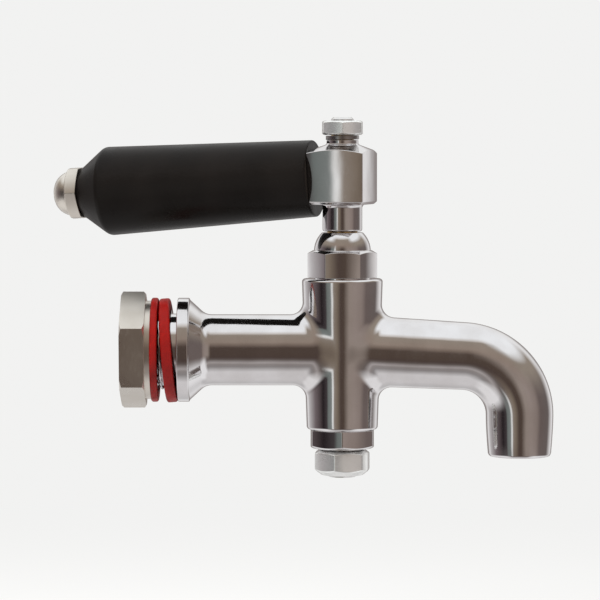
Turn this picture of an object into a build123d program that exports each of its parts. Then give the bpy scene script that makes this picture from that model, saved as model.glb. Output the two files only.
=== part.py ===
from build123d import *
import math
import os

# Tank tap with a tapered turning plug, a side handle and a bent spout.
# Origin on the axis of the waterway, in the plane of the flange's sealing face.
# +X runs from the tank towards the spout, +Z is up, +Y is the far side of the tap.
# All sizes are in millimetres and all angles in degrees.

# Clearances, each one per side
thread_clearance = 0.05
running_clearance = 0.05
slide_clearance = 0.05
running_gap = 0.3
cut_margin = 1.0
gland_take_up = 0.3

# Tail, flange and inlet arm of the casting
tail_diameter = 20.955
tail_length = 14.6
tail_chamfer = 0.8
flange_step = 3.27
flange_rim = 3.2
flange_flare = 4.2
flange_edge = 0.5
waterway_diameter = 12.4
arm_length = 43.5
arm_inset = 0.7

# Barrel of the casting
barrel_top_wall = 3.2
barrel_bottom_wall = 1.9
barrel_top = 18.9
barrel_bottom = -21.0
barrel_edge = 0.8
root_fillet = 2.6

# Spout of the casting
spout_reach = 47.0
spout_drop = 28.2
spout_slope = 2.9
spout_bend_radius = 15.6
spout_inset = 0.6
spout_run_taper = 1.1
spout_drop_taper = 1.3
spout_lip = 0.8
spout_inner_lip = 0.4

# Tapered plug and its port
plug_top_diameter = 14.6
plug_bottom_diameter = 13.0
plug_top = 9.6
plug_bottom = -12.0
seat_run_out = 2.4
port_width = 7.0
port_height = 11.0
port_run_in = 2.0
plug_edge = 0.3
spindle_diameter = 8.0
spindle_square = 6.0
hub_stud_diameter = 6.0
stud_end = 0.9
stud_chamfer = 0.6

# Stuffing box above the plug and its gland nut
thrust_washer_thickness = 0.8
packing_ring_count = 3
follower_thickness = 1.6
box_relief = 0.4
gland_thread_step = 0.2
gland_skirt_length = 3.5
gland_nut_step = 0.5
gland_hex_height = 7.2
gland_dome_height = 4.7
gland_dome_inset = 0.5
gland_dome_wall = 1.35
gland_turn = 30.0
gland_dome_bulge = 0.5

# Bottom bush and spring-loaded end of the plug
bush_thread_step = 1.0
bush_skirt_length = 5.4
bush_hex_step = 0.5
bush_hex_height = 5.1
bush_ledge = 1.6
bush_wall = 1.4
spring_wire = 1.2
spring_gap = 0.4
spring_turns = 3
plug_tail_diameter = 8.0
plug_tail_flats = 6.6
key_washer_thickness = 1.5
tail_nut_flats = 13.0
tail_nut_height = 6.8
tail_nut_crown = 1.2
plug_tail_end = 0.5

# Handle hub on the spindle
hub_neck_diameter = 10.5
hub_neck_length = 7.1
hub_side = 15.0
hub_height = 15.7
hub_edge = 0.7
hub_crown_radius = 4.6
hub_crown_slope = 20.0
hub_neck_fillet = 0.8
hub_boss_diameter = 8.4
hub_boss_height = 1.3
hub_roof = 4.5
lock_washer_thickness = 1.3
lock_washer_diameter = 8.8
lock_washer_slit = 0.8
lock_washer_slit_turn = 120.0
hub_nut_flats = 10.0
hub_nut_height = 3.8
hub_nut_turn = 16.0

# Handle
handle_turn = -16.0
handle_droop = 3.6
handle_offset = -0.55
handle_stud_diameter = 8.0
handle_stud_start = 4.4
grip_length = 66.8
grip_root_diameter = 20.3
grip_shoulder_diameter = 23.9
grip_end_diameter = 14.2
grip_nose_length = 7.4
grip_edge = 0.3
grip_shoulder_fillet = 2.0
cap_nut_flats = 13.0
cap_nut_hex_height = 3.6
cap_nut_dome_height = 4.3
cap_nut_dome_inset = 0.5
cap_nut_dome_bulge = 1.3
cap_nut_tip_diameter = 3.4
cap_nut_bore_depth = 5.0
cap_nut_stud_gap = 0.4

# Back nut and tank gaskets
back_nut_wall = 3.0225
back_nut_hex_height = 6.5
back_nut_collar_inset = 0.5
back_nut_collar_height = 1.4
back_nut_chamfer_start = 1.09
back_nut_turn = 33.5
gasket_overhang = 0.05
gasket_slack = 0.42
outer_gasket_thickness = 2.8
inner_gasket_thickness = 1.9
wall_gap = 2.3

# Turned-back corners of every nut
nut_chamfer_angle = 30.0
nut_chamfer_start = 0.97

# Threads above and below the plug, wide enough for it to pass, and their nuts
gland_thread_diameter = plug_top_diameter + 2 * gland_thread_step
gland_flats = gland_thread_diameter + 2 * gland_nut_step
bush_thread_diameter = plug_bottom_diameter + 2 * bush_thread_step
bush_flats = bush_thread_diameter + 2 * bush_hex_step
spring_chamber_diameter = bush_thread_diameter - 2 * bush_wall

# Diameters of the casting, from the threads it holds
barrel_top_diameter = gland_thread_diameter + 2 * barrel_top_wall
barrel_bottom_diameter = bush_thread_diameter + 2 * barrel_bottom_wall
barrel_waist_share = -barrel_bottom / (barrel_top - barrel_bottom)
barrel_waist_diameter = (
    barrel_bottom_diameter + barrel_waist_share * (barrel_top_diameter - barrel_bottom_diameter)
)
arm_diameter = barrel_waist_diameter - 2 * arm_inset
spout_root_diameter = barrel_waist_diameter - 2 * spout_inset
spout_bend_diameter = spout_root_diameter - spout_run_taper
spout_tip_diameter = spout_bend_diameter - spout_drop_taper

# Diameters of what goes over, under or inside those
flange_diameter = tail_diameter + 2 * flange_step
back_nut_flats = tail_diameter + 2 * back_nut_wall
gasket_diameter = flange_diameter + 2 * gasket_overhang
gasket_bore_diameter = tail_diameter + 2 * gasket_slack
back_nut_collar_diameter = back_nut_flats - 2 * back_nut_collar_inset
gland_bore_diameter = spindle_diameter + 2 * running_clearance
gland_dome_base_diameter = gland_flats - 2 * gland_dome_inset
gland_dome_top_diameter = gland_bore_diameter + 2 * gland_dome_wall
key_washer_diameter = spring_chamber_diameter - 2 * running_gap
spring_mean_diameter = spring_chamber_diameter - spring_wire - 2 * spring_gap
cap_nut_dome_diameter = cap_nut_flats - 2 * cap_nut_dome_inset

# Levels along the plug axis
thrust_washer_base = plug_top + running_clearance
packing_base = thrust_washer_base + thrust_washer_thickness
gland_hex_base = barrel_top + gland_take_up
gland_base = gland_hex_base - gland_skirt_length
follower_base = gland_base - follower_thickness
packing_ring_thickness = (follower_base - packing_base) / packing_ring_count
gland_hex_top = gland_hex_base + gland_hex_height
gland_top = gland_hex_top + gland_dome_height
hub_base = gland_top + running_gap
hub_block_base = hub_base + hub_neck_length
hub_block_top = hub_block_base + hub_height
hub_ledge = hub_block_top - hub_roof
hub_boss_top = hub_block_top + hub_boss_height
hub_nut_base = hub_boss_top + lock_washer_thickness
hub_nut_top = hub_nut_base + hub_nut_height
handle_level = hub_block_base + hub_height / 2 + handle_offset
bush_bottom = barrel_bottom - bush_hex_height
bush_top = barrel_bottom + bush_skirt_length
spring_ledge = bush_top - bush_ledge
tail_nut_top = bush_bottom - running_gap
tail_nut_bottom = tail_nut_top - tail_nut_height
key_washer_top = tail_nut_top + key_washer_thickness

# Stations along the tail, going towards the tank
outer_gasket_face = -outer_gasket_thickness
inner_gasket_face = outer_gasket_face - wall_gap
back_nut_face = inner_gasket_face - inner_gasket_thickness
back_nut_hex_start = back_nut_face - back_nut_collar_height
back_nut_end = back_nut_hex_start - back_nut_hex_height

# Stations along the handle, measured from the plug axis
grip_start = hub_side / 2
grip_end = grip_start + grip_length
cap_nut_bore_end = grip_end + cap_nut_bore_depth

# Places of the plug, of all that turns with it and of the handle
plug_axis = Pos(arm_length, 0, 0)
turned_axis = plug_axis * Rot(0, 0, handle_turn)
handle_axis = turned_axis * Pos(0, 0, handle_level) * Rot(0, -90 - handle_droop, 0)


def turned(*profile):
    """A solid of revolution about Z from (radius, level) points."""
    outline = Polyline(*[(radius, 0, level) for radius, level in profile], close=True)
    return revolve(make_face(outline), Axis.Z)


def rod(diameter, low, high):
    """A round bar along Z between two levels."""
    bar = Cylinder(diameter / 2, high - low, align=(Align.CENTER, Align.CENTER, Align.MIN))
    return Pos(0, 0, low) * bar


def ring(outer_diameter, inner_diameter, low, high):
    """A flat ring along Z between two levels."""
    return rod(outer_diameter, low, high) - rod(inner_diameter, low, high)


def square_bar(side, low, high):
    """A square bar along Z between two levels."""
    return Pos(0, 0, low) * Box(side, side, high - low, align=(Align.CENTER, Align.CENTER, Align.MIN))


def stud_bar(diameter, low, high):
    """A round bar along Z with its top edge turned off."""
    radius = diameter / 2
    return turned(
        (0, low),
        (radius, low),
        (radius, high - stud_chamfer),
        (radius - stud_chamfer, high),
        (0, high),
    )


def hexagon(flats, low, high, low_chamfer=True, high_chamfer=True, chamfer_start=nut_chamfer_start):
    """A hexagonal bar along Z, flats facing -X and +X, corners turned back at its ends."""
    corner = flats / math.sqrt(3)
    start = flats / 2 * chamfer_start
    drop = (corner - start) * math.tan(math.radians(nut_chamfer_angle))
    outline = RegularPolygon(flats / 2, 6, major_radius=False, rotation=30)
    bar = Pos(0, 0, low) * extrude(outline, high - low)
    profile = [(0, low)]
    profile += [(start, low), (corner, low + drop)] if low_chamfer else [(corner, low)]
    profile += [(corner, high - drop), (start, high)] if high_chamfer else [(corner, high)]
    profile += [(0, high)]
    return bar & turned(*profile)


def dome(base_diameter, top_diameter, low, high, bulge):
    """A rounded cap along Z whose side swells outwards between two circles."""
    base = (base_diameter / 2, 0, low)
    top = (top_diameter / 2, 0, high)
    length = math.hypot(base[0] - top[0], high - low)
    middle = (
        (base[0] + top[0]) / 2 + bulge * (high - low) / length,
        0,
        (low + high) / 2 + bulge * (base[0] - top[0]) / length,
    )
    side = ThreePointArc(base, middle, top)
    rest = Polyline(top, (0, 0, high), (0, 0, low), base)
    return revolve(make_face([side.edge()] + rest.edges()), Axis.Z)


def along_x(shape):
    """Lays a shape that was built along Z so that it runs along X."""
    return Rot(0, 90, 0) * shape


def port(width, height, reach):
    """A slot with round ends, standing upright and running both ways along X."""
    return extrude(Plane.YZ * SlotOverall(height, width, rotation=90), reach, both=True)


def cone_diameter(level):
    """Diameter of the plug's tapered face at a level."""
    share = (level - plug_bottom) / (plug_top - plug_bottom)
    return plug_bottom_diameter + share * (plug_top_diameter - plug_bottom_diameter)


def spout_path():
    """Centre line of the spout: a sloping run, a bend and a short drop."""
    slope = math.radians(spout_slope)
    middle = math.radians((90 + spout_slope) / 2)
    tip_x = arm_length + spout_reach
    bend_x = tip_x - spout_bend_radius
    run_end_x = bend_x + spout_bend_radius * math.sin(slope)
    run_end_z = -(run_end_x - arm_length) * math.tan(slope)
    bend_z = run_end_z - spout_bend_radius * math.cos(slope)
    middle_x = bend_x + spout_bend_radius * math.sin(middle)
    middle_z = bend_z + spout_bend_radius * math.cos(middle)
    run = Line((arm_length, 0, 0), (run_end_x, 0, run_end_z))
    bend = ThreePointArc((run_end_x, 0, run_end_z), (middle_x, 0, middle_z), (tip_x, 0, bend_z))
    drop = Line((tip_x, 0, bend_z), (tip_x, 0, -spout_drop))
    return run.edge(), bend.edge(), drop.edge()


def tapered_along(line, start_diameter, end_diameter):
    """A round bar that runs along a straight line and changes its diameter evenly."""
    bar = Cone(
        start_diameter / 2,
        end_diameter / 2,
        line.length,
        align=(Align.CENTER, Align.CENTER, Align.MIN),
    )
    return Plane(line @ 0, z_dir=line % 0) * bar


def spout_skin(run, bend, drop):
    """Outside of the spout: a tapered run, a round bend and a tapered drop."""
    straight = tapered_along(run, spout_root_diameter, spout_bend_diameter)
    turn = sweep(Plane(bend @ 0, z_dir=bend % 0) * Circle(spout_bend_diameter / 2), bend)
    mouth = tapered_along(drop, spout_bend_diameter, spout_tip_diameter)
    return straight + turn + mouth


def barrel():
    """Upright barrel, slightly narrower at the bottom."""
    shell = turned(
        (0, barrel_bottom),
        (barrel_bottom_diameter / 2, barrel_bottom),
        (barrel_top_diameter / 2, barrel_top),
        (0, barrel_top),
    )
    rims = shell.edges().filter_by(GeomType.CIRCLE)
    return plug_axis * fillet(rims, barrel_edge)


def is_root(edge):
    """True for the curves where an arm grows out of the barrel."""
    box = edge.bounding_box()
    reach = barrel_top_diameter / 2 + cut_margin
    beside = box.min.X > arm_length - reach and box.max.X < arm_length + reach
    between = box.min.Z > -spout_root_diameter and box.max.Z < barrel_top - barrel_edge
    return beside and between and box.size.Z > cut_margin


def cavity(path):
    """All that is hollow in the casting: waterways, seat, stuffing box and bush thread."""
    seat_bottom = plug_bottom - seat_run_out
    seat_top = plug_top + box_relief
    box_diameter = cone_diameter(seat_top) + 2 * running_clearance
    gland_bore = gland_thread_diameter + 2 * thread_clearance
    bush_bore = bush_thread_diameter + 2 * thread_clearance
    seat = turned(
        (0, seat_bottom),
        (cone_diameter(seat_bottom) / 2 + running_clearance, seat_bottom),
        (box_diameter / 2, seat_top),
        (0, seat_top),
    )
    well = seat + rod(box_diameter, seat_top, follower_base)
    well = well + rod(gland_bore, follower_base, barrel_top)
    well = well + rod(bush_bore, barrel_bottom, seat_bottom)
    window = port(port_width, port_height, barrel_top_diameter / 2)
    core_radius = plug_top_diameter / 2 + port_run_in
    inlet = along_x(rod(waterway_diameter, -tail_length, arm_length - core_radius))
    outlet = sweep(Plane(path @ 0, z_dir=path % 0) * Circle(waterway_diameter / 2), path)
    outlet = outlet - plug_axis * rod(2 * core_radius, barrel_bottom, barrel_top)
    return inlet + outlet + plug_axis * (well + window)


def body_casting():
    """Body in one casting: tail, flange, inlet arm, barrel and spout."""
    run, bend, drop = spout_path()
    arm = along_x(rod(arm_diameter, 0, arm_length))
    body = barrel() + arm + spout_skin(run, bend, drop)
    body = fillet(body.edges().filter_by(is_root), root_fillet)
    mouth = body.edges().filter_by(GeomType.CIRCLE).sort_by(Axis.Z)[0]
    body = fillet(mouth, spout_lip)
    flange = turned(
        (0, 0),
        (flange_diameter / 2 - flange_edge, 0),
        (flange_diameter / 2, flange_edge),
        (flange_diameter / 2, flange_rim - flange_edge),
        (flange_diameter / 2 - flange_edge, flange_rim),
        (arm_diameter / 2, flange_rim + flange_flare),
        (0, flange_rim + flange_flare),
    )
    tail = turned(
        (0, 0),
        (tail_diameter / 2, 0),
        (tail_diameter / 2, -tail_length + tail_chamfer),
        (tail_diameter / 2 - tail_chamfer, -tail_length),
        (0, -tail_length),
    )
    body = body + along_x(flange) + along_x(tail) - cavity(Wire([run, bend, drop]))
    rims = body.edges().filter_by(GeomType.CIRCLE).group_by(Axis.Z)[0]
    return fillet(rims.sort_by(SortBy.LENGTH)[0], spout_inner_lip)


def plug():
    """Tapered plug with its port, spindle, square and both threaded ends."""
    square_top = hub_ledge - running_gap
    taper = turned(
        (0, plug_bottom),
        (plug_bottom_diameter / 2 - plug_edge, plug_bottom),
        (cone_diameter(plug_bottom + plug_edge) / 2, plug_bottom + plug_edge),
        (cone_diameter(plug_top - plug_edge) / 2, plug_top - plug_edge),
        (plug_top_diameter / 2 - plug_edge, plug_top),
        (0, plug_top),
    )
    spindle = rod(spindle_diameter, plug_top, hub_base)
    square = square_bar(spindle_square, hub_base, square_top)
    square = square & rod(spindle_diameter, hub_base, square_top)
    hub_stud = stud_bar(hub_stud_diameter, square_top, hub_nut_top + stud_end)
    tail_end = tail_nut_bottom - plug_tail_end
    tail = Rot(180, 0, 0) * stud_bar(plug_tail_diameter, -plug_bottom, -tail_end)
    flatted = Box(plug_tail_diameter, plug_tail_flats, tail_nut_top - tail_end + key_washer_thickness)
    tail_low = rod(plug_tail_diameter + cut_margin, tail_end, key_washer_top)
    flats = tail_low - Pos(0, 0, (key_washer_top + tail_end) / 2) * flatted
    body = taper + spindle + square + hub_stud + (tail - flats)
    return body - port(port_width, port_height, plug_top_diameter)


def packing_ring(number):
    """One soft ring of the packing, counted from the bottom."""
    low = packing_base + number * packing_ring_thickness
    return ring(packing_diameter(), gland_bore_diameter, low, low + packing_ring_thickness)


def packing_diameter():
    """Outside of everything that sits in the stuffing box."""
    return cone_diameter(plug_top + box_relief)


def thrust_washer():
    """Flat washer between the plug's shoulder and the packing."""
    return ring(packing_diameter(), gland_bore_diameter, thrust_washer_base, packing_base)


def gland_follower():
    """Ring that passes the gland nut's push on to the packing."""
    return ring(packing_diameter(), gland_bore_diameter, follower_base, gland_base)


def gland_nut():
    """Hexagonal nut with a rounded crown, screwed into the top of the barrel."""
    skirt = rod(gland_thread_diameter, gland_base, gland_hex_base)
    crown = dome(
        gland_dome_base_diameter,
        gland_dome_top_diameter,
        gland_hex_top,
        gland_top,
        gland_dome_bulge,
    )
    bar = hexagon(gland_flats, gland_hex_base, gland_hex_top, low_chamfer=False)
    body = skirt + Rot(0, 0, gland_turn) * bar + crown
    return body - rod(gland_bore_diameter, gland_base, gland_top)


def bottom_bush():
    """Hexagonal bush under the barrel, with the chamber that holds the spring."""
    body = rod(bush_thread_diameter, barrel_bottom, bush_top)
    body = body + hexagon(bush_flats, bush_bottom, barrel_bottom, high_chamfer=False)
    guide = rod(plug_tail_diameter + 2 * running_clearance, bush_bottom, bush_top)
    return body - guide - rod(spring_chamber_diameter, bush_bottom, spring_ledge)


def tail_spring():
    """Coil spring of flat wire that pulls the plug down into its seat."""
    low = key_washer_top + spring_wire / 2
    high = spring_ledge - running_gap - spring_wire / 2
    radius = spring_mean_diameter / 2
    path = Pos(0, 0, low) * Helix((high - low) / spring_turns, high - low, radius)
    section = Plane(path @ 0, z_dir=path % 0) * Rectangle(spring_wire, spring_wire)
    return sweep(section, path, is_frenet=True)


def key_washer():
    """Washer with a flatted hole, turned round by the end of the plug."""
    hole = rod(plug_tail_diameter + 2 * slide_clearance, tail_nut_top, key_washer_top)
    flats = plug_tail_flats + 2 * slide_clearance
    slot = Pos(0, 0, tail_nut_top) * Box(
        plug_tail_diameter + cut_margin,
        flats,
        key_washer_thickness,
        align=(Align.CENTER, Align.CENTER, Align.MIN),
    )
    return rod(key_washer_diameter, tail_nut_top, key_washer_top) - (hole & slot)


def tail_nut():
    """Nut on the lower end of the plug, with a rounded underside."""
    corner = tail_nut_flats / math.sqrt(3)
    body = hexagon(tail_nut_flats, tail_nut_bottom, tail_nut_top, low_chamfer=False)
    rounded = Pos(0, 0, tail_nut_bottom) * Cylinder(
        corner, tail_nut_height, align=(Align.CENTER, Align.CENTER, Align.MIN)
    )
    low_edge = rounded.edges().filter_by(GeomType.CIRCLE).sort_by(Axis.Z)[0]
    body = body & fillet(low_edge, tail_nut_crown)
    return body - rod(plug_tail_diameter + 2 * thread_clearance, tail_nut_bottom, tail_nut_top)


def handle_hub():
    """Square hub on the spindle: neck below, boss above, seat for the grip at the side."""
    corner = hub_side / math.sqrt(2)
    crown_drop = (corner - hub_crown_radius) * math.tan(math.radians(hub_crown_slope))
    crown = turned(
        (0, hub_block_base),
        (corner, hub_block_base),
        (corner, hub_block_top - crown_drop),
        (hub_crown_radius, hub_block_top),
        (0, hub_block_top),
    )
    block = square_bar(hub_side, hub_block_base, hub_block_top)
    rims = block.edges().filter_by(Plane.XY).group_by(Axis.Z)[0]
    block = chamfer(rims, hub_edge) & crown
    neck = rod(hub_neck_diameter, hub_base, hub_block_base)
    foot = turned(
        (0, hub_block_base - hub_neck_fillet),
        (hub_neck_diameter / 2, hub_block_base - hub_neck_fillet),
        (hub_neck_diameter / 2 + hub_neck_fillet, hub_block_base),
        (0, hub_block_base),
    )
    boss = rod(hub_boss_diameter, hub_block_top, hub_boss_top)
    body = turned_axis * (block + neck + foot + boss)
    square_hole = square_bar(spindle_square + 2 * slide_clearance, hub_base, hub_ledge)
    stud_hole = rod(hub_stud_diameter + 2 * slide_clearance, hub_ledge, hub_boss_top)
    body = body - turned_axis * (square_hole + stud_hole)
    beyond = rod(2 * hub_height, grip_start, grip_start + hub_side)
    handle_bore = rod(handle_stud_diameter + 2 * thread_clearance, handle_stud_start, grip_start)
    return body - handle_axis * (beyond + handle_bore)


def lock_washer():
    """Split washer under the hub nut."""
    bore = hub_stud_diameter + 2 * slide_clearance
    whole = ring(lock_washer_diameter, bore, hub_boss_top, hub_nut_base)
    slit = Pos(lock_washer_diameter / 2, 0, (hub_boss_top + hub_nut_base) / 2) * Box(
        lock_washer_diameter, lock_washer_slit, 2 * lock_washer_thickness
    )
    return whole - Rot(0, 0, lock_washer_slit_turn) * slit


def hub_nut():
    """Nut that clamps the hub on the spindle."""
    bore = rod(hub_stud_diameter + 2 * thread_clearance, hub_nut_base, hub_nut_top)
    return Rot(0, 0, hub_nut_turn) * hexagon(hub_nut_flats, hub_nut_base, hub_nut_top) - bore


def handle_stud():
    """Stud that runs from the hub through the grip into the cap nut."""
    end = cap_nut_bore_end - cap_nut_stud_gap
    return stud_bar(handle_stud_diameter, handle_stud_start, end)


def grip():
    """Barrel-shaped moulded grip, widest near its outer end."""
    shoulder = grip_end - grip_nose_length
    root = grip_root_diameter / 2
    body = turned(
        (0, grip_start),
        (root - grip_edge, grip_start),
        (root, grip_start + grip_edge),
        (grip_shoulder_diameter / 2, shoulder),
        (grip_end_diameter / 2, grip_end),
        (0, grip_end),
    )
    shoulders = body.edges().filter_by_position(Axis.Z, shoulder, shoulder)
    body = fillet(shoulders, grip_shoulder_fillet)
    return body - rod(handle_stud_diameter + 2 * slide_clearance, grip_start, grip_end)


def cap_nut():
    """Domed nut at the end of the handle."""
    hex_end = grip_end + cap_nut_hex_height
    bar = hexagon(cap_nut_flats, grip_end, hex_end, low_chamfer=False)
    dome_end = hex_end + cap_nut_dome_height
    cap = dome(cap_nut_dome_diameter, cap_nut_tip_diameter, hex_end, dome_end, cap_nut_dome_bulge)
    bore = rod(handle_stud_diameter + 2 * thread_clearance, grip_end, cap_nut_bore_end)
    return bar + cap - bore


def back_nut():
    """Large nut that pulls the flange against the tank wall."""
    collar = turned(
        (0, back_nut_hex_start),
        (back_nut_collar_diameter / 2, back_nut_hex_start),
        (back_nut_collar_diameter / 2, back_nut_face),
        (0, back_nut_face),
    )
    bar = hexagon(
        back_nut_flats,
        back_nut_end,
        back_nut_hex_start,
        chamfer_start=back_nut_chamfer_start,
    )
    bore = rod(tail_diameter + 2 * thread_clearance, back_nut_end, back_nut_face)
    return along_x(collar + Rot(0, 0, back_nut_turn) * bar - bore)


def gasket(low, high):
    """Soft ring around the tail between two stations."""
    return along_x(ring(gasket_diameter, gasket_bore_diameter, low, high))


def main():
    os.makedirs("parts", exist_ok=True)
    parts = {
        "body_casting": body_casting(),
        "thrust_washer": plug_axis * thrust_washer(),
        "gland_follower": plug_axis * gland_follower(),
        "gland_nut": plug_axis * gland_nut(),
        "bottom_bush": plug_axis * bottom_bush(),
        "outer_gasket": gasket(outer_gasket_face, 0),
        "inner_gasket": gasket(back_nut_face, inner_gasket_face),
        "back_nut": back_nut(),
        "plug": turned_axis * plug(),
        "tail_spring": turned_axis * tail_spring(),
        "key_washer": turned_axis * key_washer(),
        "tail_nut": turned_axis * tail_nut(),
        "handle_hub": handle_hub(),
        "lock_washer": turned_axis * lock_washer(),
        "hub_nut": turned_axis * hub_nut(),
        "handle_stud": handle_axis * handle_stud(),
        "grip": handle_axis * grip(),
        "cap_nut": handle_axis * cap_nut(),
    }
    for number in range(packing_ring_count):
        parts[f"packing_ring_{number + 1}"] = plug_axis * packing_ring(number)
    for name, shape in parts.items():
        export_step(shape, f"parts/{name}.step")
        print(name, len(shape.solids()), round(shape.volume, 1), shape.is_valid)


main()
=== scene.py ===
import math
import bmesh
import bpy
import numpy as np
from mathutils import Matrix, Vector


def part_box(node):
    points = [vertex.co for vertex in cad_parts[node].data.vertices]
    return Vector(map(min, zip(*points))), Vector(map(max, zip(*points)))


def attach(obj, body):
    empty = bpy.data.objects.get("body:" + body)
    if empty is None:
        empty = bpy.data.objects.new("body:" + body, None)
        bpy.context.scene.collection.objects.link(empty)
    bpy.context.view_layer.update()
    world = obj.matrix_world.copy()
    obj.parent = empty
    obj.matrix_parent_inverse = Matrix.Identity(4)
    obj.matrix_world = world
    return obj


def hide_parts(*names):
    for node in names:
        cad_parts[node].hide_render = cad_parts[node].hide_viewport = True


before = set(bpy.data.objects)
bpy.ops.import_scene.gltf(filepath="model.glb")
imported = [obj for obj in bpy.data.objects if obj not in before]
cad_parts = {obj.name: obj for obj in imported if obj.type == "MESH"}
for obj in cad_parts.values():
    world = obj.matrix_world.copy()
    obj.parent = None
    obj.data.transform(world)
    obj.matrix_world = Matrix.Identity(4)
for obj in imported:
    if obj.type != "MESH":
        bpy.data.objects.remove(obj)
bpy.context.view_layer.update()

# The photographer's place: in front of the tap, a little above it, with a long lens.
# The picture's middle lies on view_target, and the picture is as wide as tall.
mm = 0.001
view_place = Vector((36, -800, 56)) * mm
view_target = Vector((32.3, 0, 13.2)) * mm
sensor_width = 36.0
picture_width = 158.8 * mm

camera_data = bpy.data.cameras.new("camera")
camera = bpy.data.objects.new("camera", camera_data)
bpy.context.scene.collection.objects.link(camera)
camera.location = view_place
camera.rotation_mode = "QUATERNION"
camera.rotation_quaternion = (view_target - view_place).to_track_quat("-Z", "Y")
camera_data.sensor_width = sensor_width
camera_data.lens = sensor_width * (view_target - view_place).length / picture_width
camera_data.clip_start = 0.01
bpy.context.scene.camera = camera
bpy.context.scene.view_settings.view_transform = "Standard"


# The room: an even pale light for dull surfaces. Polished metal sees more of it: a pale
# ceiling, a brown room in front with dark and light uprights round the horizon, white
# card low down at both sides, and a pale backdrop behind.
backdrop_grey = (0.887, 0.887, 0.88, 1)
plain_light = 0.82
ceiling = (1.0, 1.02, 1.03)
card = (0.90, 0.89, 0.89)
table = (0.72, 0.70, 0.70)
wall_brown = (0.335, 0.285, 0.235)
gap_dark = (0.08, 0.057, 0.052)
skirting = (0.30, 0.27, 0.26)

front_levels = [
    (-72, table),
    (-53, (0.29, 0.27, 0.265)),
    (-45, skirting),
    (-39, (0.42, 0.385, 0.375)),
    (-29, (0.15, 0.125, 0.115)),
    (-21, gap_dark),
    (-5, gap_dark),
    (15, (0.33, 0.255, 0.21)),
    (52, wall_brown),
    (57, (0.68, 0.64, 0.60)),
    (66, ceiling),
]
side_levels = [
    (-72, table),
    (-60, card),
    (-24, card),
    (-12, (0.36, 0.33, 0.31)),
    (0, (0.20, 0.165, 0.15)),
    (20, wall_brown),
    (34, wall_brown),
    (46, ceiling),
]
back_levels = [
    (-72, table),
    (-45, (0.58, 0.57, 0.57)),
    (-24, card),
    (-9, skirting),
    (6, skirting),
    (22, (0.93, 0.93, 0.92)),
    (60, ceiling),
]
uprights = [
    (-155, skirting),
    (-142, card),
    (-129, (0.58, 0.56, 0.56)),
    (-97, (0.19, 0.155, 0.16)),
    (-74, (0.075, 0.058, 0.06)),
    (-64, (0.022, 0.016, 0.018)),
    (-50, (0.06, 0.05, 0.052)),
    (-46, (0.17, 0.19, 0.18)),
    (-34.5, (0.23, 0.25, 0.24)),
    (-31.5, (0.86, 0.87, 0.85)),
    (-29, (0.84, 0.84, 0.82)),
    (-26, (0.29, 0.245, 0.205)),
    (-16, (0.22, 0.175, 0.135)),
    (-5, (0.085, 0.06, 0.05)),
    (4, (0.09, 0.064, 0.05)),
    (20, (0.33, 0.275, 0.24)),
    (38, (0.34, 0.28, 0.25)),
    (58, (0.29, 0.235, 0.21)),
    (72, (0.165, 0.13, 0.12)),
    (110, (0.155, 0.13, 0.122)),
    (131, (0.72, 0.70, 0.69)),
    (142, card),
    (155, skirting),
]


def new_node(tree, kind, **settings):
    """One node of a tree, with its plain settings."""
    node = tree.nodes.new(kind)
    for name, value in settings.items():
        setattr(node, name, value)
    return node


def feed(tree, sockets, values):
    """Sets sockets to values, or links them where a value is another node's output."""
    for socket, value in zip(sockets, values):
        if isinstance(value, bpy.types.NodeSocket):
            tree.links.new(value, socket)
        else:
            socket.default_value = value


def maths(tree, operation, *values):
    """A sum, product or other plain operation on values."""
    node = new_node(tree, "ShaderNodeMath", operation=operation)
    feed(tree, node.inputs, values)
    return node.outputs[0]


def ramp(tree, factor, stops):
    """A colour ramp with (place, colour) stops, driven by a value."""
    node = new_node(tree, "ShaderNodeValToRGB")
    while len(node.color_ramp.elements) < len(stops):
        node.color_ramp.elements.new(1)
    for element, (place, colour) in zip(node.color_ramp.elements, stops):
        element.position = place
        element.color = (*colour[:3], 1)
    tree.links.new(factor, node.inputs["Fac"])
    return node.outputs["Color"]


def blend(tree, factor, low, high):
    """A mix of two colours by a factor."""
    node = new_node(tree, "ShaderNodeMix", data_type="RGBA")
    feed(tree, [socket for socket in node.inputs if socket.enabled], (factor, low, high))
    return [socket for socket in node.outputs if socket.enabled][0]


def grey(value):
    """A colour ramp's stop that stands for a plain number."""
    return (value, value, value)


def room_view(tree, direction):
    """The room's colour in a direction. Elevation runs from -90 to 90 degrees and azimuth
    from -180 to 180, with 0 towards the photographer and 90 towards the spout."""
    axes = new_node(tree, "ShaderNodeSeparateXYZ")
    tree.links.new(direction, axes.inputs[0])
    x, y, z = axes.outputs
    elevation = maths(tree, "MULTIPLY_ADD", maths(tree, "ARCSINE", z), 1 / math.pi, 0.5)
    turn = maths(tree, "ARCTAN2", x, maths(tree, "MULTIPLY", y, -1.0))
    azimuth = maths(tree, "MULTIPLY_ADD", turn, 0.5 / math.pi, 0.5)

    def by_elevation(stops):
        return ramp(tree, elevation, [(0.5 + angle / 180, colour) for angle, colour in stops])

    def by_azimuth(stops):
        return ramp(tree, azimuth, [(0.5 + angle / 360, colour) for angle, colour in stops])

    at_side = by_azimuth([
        (-65, grey(1)), (-35, grey(0)), (30, grey(0)), (55, grey(1)),
    ])
    at_back = by_azimuth([
        (-140, grey(1)), (-115, grey(0)), (115, grey(0)), (137, grey(1)),
    ])
    at_horizon = by_elevation([
        (-30, grey(0)), (-13, grey(1)), (9, grey(1)), (28, grey(0)),
    ])
    room = blend(tree, at_side, by_elevation(front_levels), by_elevation(side_levels))
    room = blend(tree, at_back, room, by_elevation(back_levels))
    return blend(tree, at_horizon, room, by_azimuth(uprights))


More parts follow.
